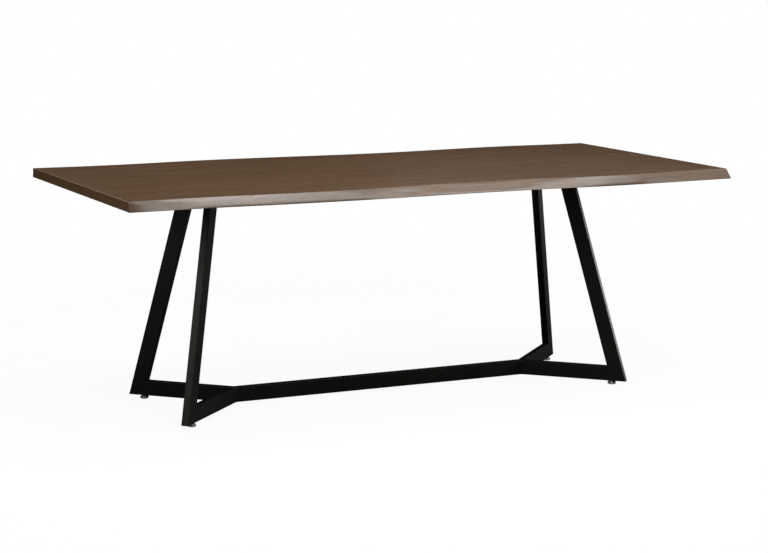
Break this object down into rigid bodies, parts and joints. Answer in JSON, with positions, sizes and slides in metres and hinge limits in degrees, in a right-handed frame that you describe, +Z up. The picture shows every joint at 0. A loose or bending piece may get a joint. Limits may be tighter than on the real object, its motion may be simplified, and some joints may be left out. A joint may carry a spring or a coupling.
{
  "type": "live-edge dining table",
  "caption": "Long dining table: a dark wood slab with wavy live edges on a black steel tube trestle whose stretcher forks at each end, with leaning legs and levelling glides.",
  "frame": {"origin": "on the floor under the middle of the table", "axes": "+X along the table, +Y from its front to its rear, +Z up"},
  "size_m": [2.1336, 1.0571, 0.77],
  "materials": {
    "stained_wood": "dark brown stain under a satin clear coat",
    "black_powder_coat": "satin black powder coat",
    "bright_plating": "bright nickel plating",
    "glide_pad_plastic": "matte",
    "zinc_steel": "zinc plated",
    "insert_brass": "plain"
  },
  "bodies": {
    "table": {"top_board_front": "stained_wood", "top_board_front_inner": "stained_wood", "top_board_centre": "stained_wood", "top_board_rear_inner": "stained_wood", "top_board_rear": "stained_wood", "top_plate_left": "black_powder_coat", "top_plate_right": "black_powder_coat", "top_screws": "zinc_steel", "top_washers": "zinc_steel", "top_inserts": "insert_brass", "stretcher": "black_powder_coat", "rail_left_front": "black_powder_coat", "rail_left_rear": "black_powder_coat", "rail_right_front": "black_powder_coat", "rail_right_rear": "black_powder_coat", "leg_left_front": "black_powder_coat", "leg_left_rear": "black_powder_coat", "leg_right_front": "black_powder_coat", "leg_right_rear": "black_powder_coat", "glide_nuts": "zinc_steel"},
    "glide_left_front": {"glide_foot_left_front": "bright_plating", "glide_pad_left_front": "glide_pad_plastic"},
    "stud_left_front": {"glide_stud_left_front": "bright_plating"},
    "glide_left_rear": {"glide_foot_left_rear": "bright_plating", "glide_pad_left_rear": "glide_pad_plastic"},
    "stud_left_rear": {"glide_stud_left_rear": "bright_plating"},
    "glide_right_front": {"glide_foot_right_front": "bright_plating", "glide_pad_right_front": "glide_pad_plastic"},
    "stud_right_front": {"glide_stud_right_front": "bright_plating"},
    "glide_right_rear": {"glide_foot_right_rear": "bright_plating", "glide_pad_right_rear": "glide_pad_plastic"},
    "stud_right_rear": {"glide_stud_right_rear": "bright_plating"}
  },
  "joints": [
    {"name": "left_front_levelling", "type": "slide", "parent": "table", "child": "glide_left_front", "axis": [0, 0, -1], "range_m": [0, 0.012]},
    {"name": "left_front_stud_turn", "type": "hinge", "parent": "glide_left_front", "child": "stud_left_front", "pos_m": [-0.7797, -0.2337, 0.02], "axis": [0, 0, -1], "range_deg": [0, 3457]},
    {"name": "left_rear_levelling", "type": "slide", "parent": "table", "child": "glide_left_rear", "axis": [0, 0, -1], "range_m": [0, 0.012]},
    {"name": "left_rear_stud_turn", "type": "hinge", "parent": "glide_left_rear", "child": "stud_left_rear", "pos_m": [-0.7797, 0.2337, 0.02], "axis": [0, 0, -1], "range_deg": [0, 3457]},
    {"name": "right_front_levelling", "type": "slide", "parent": "table", "child": "glide_right_front", "axis": [0, 0, -1], "range_m": [0, 0.012]},
    {"name": "right_front_stud_turn", "type": "hinge", "parent": "glide_right_front", "child": "stud_right_front", "pos_m": [0.7797, -0.2337, 0.02], "axis": [0, 0, -1], "range_deg": [0, 3457]},
    {"name": "right_rear_levelling", "type": "slide", "parent": "table", "child": "glide_right_rear", "axis": [0, 0, -1], "range_m": [0, 0.012]},
    {"name": "right_rear_stud_turn", "type": "hinge", "parent": "glide_right_rear", "child": "stud_right_rear", "pos_m": [0.7797, 0.2337, 0.02], "axis": [0, 0, -1], "range_deg": [0, 3457]}
  ],
  "couplings": [
    {"joint": "left_front_stud_turn", "follows": "left_front_levelling", "rad_per_m": 5026.5},
    {"joint": "left_rear_stud_turn", "follows": "left_rear_levelling", "rad_per_m": 5026.5},
    {"joint": "right_front_stud_turn", "follows": "right_front_levelling", "rad_per_m": 5026.5},
    {"joint": "right_rear_stud_turn", "follows": "right_rear_levelling", "rad_per_m": 5026.5}
  ]
}
